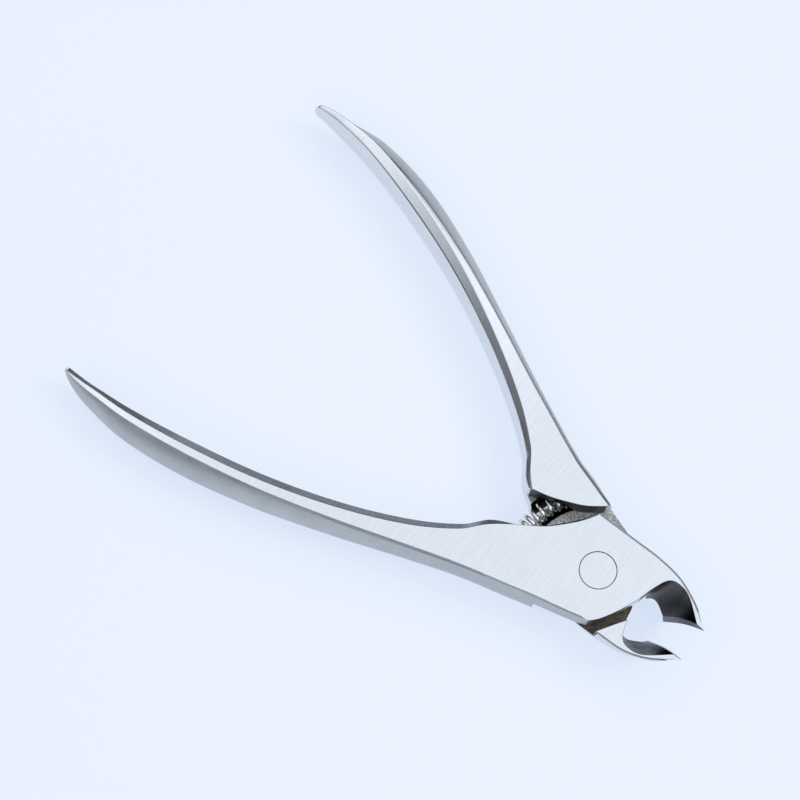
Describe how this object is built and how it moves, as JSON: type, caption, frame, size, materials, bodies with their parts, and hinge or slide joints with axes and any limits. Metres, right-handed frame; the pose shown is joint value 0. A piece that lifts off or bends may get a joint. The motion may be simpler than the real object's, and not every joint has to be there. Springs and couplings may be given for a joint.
{
  "type": "nail clipper",
  "caption": "Plier-type stainless steel nail nipper with curved lapped levers, slanted beak jaws, a flush pivot pin and a coil return spring.",
  "frame": {"origin": "on the pivot axis, at the rear end face of the pivot pin, which is flush with the rear face of the head", "axes": "+Z along the pivot axis from the rear face to the front face that the jaw tips are on; +X from the pivot between the two jaw tips; the handles reach back along -X, the front lever's handle towards -Y and the back lever's towards +Y"},
  "size_m": [0.1158, 0.0724, 0.0114],
  "materials": {
    "lever_steel": "satin brushed",
    "pin_steel": "fine satin, ground flush",
    "spring_steel": "bright drawn wire, slightly dark"
  },
  "bodies": {
    "back": {"back_lever": "lever_steel", "pivot_pin": "pin_steel", "return_spring": "spring_steel"},
    "front": {"front_lever": "lever_steel"}
  },
  "joints": [
    {"name": "squeeze", "type": "hinge", "parent": "back", "child": "front", "pos_m": [0, 0, 0.005], "axis": [0, 0, -1], "range_deg": [-7, 17.4], "stiffness_Nm_per_rad": 1.5, "deforming": ["return_spring"]}
  ]
}
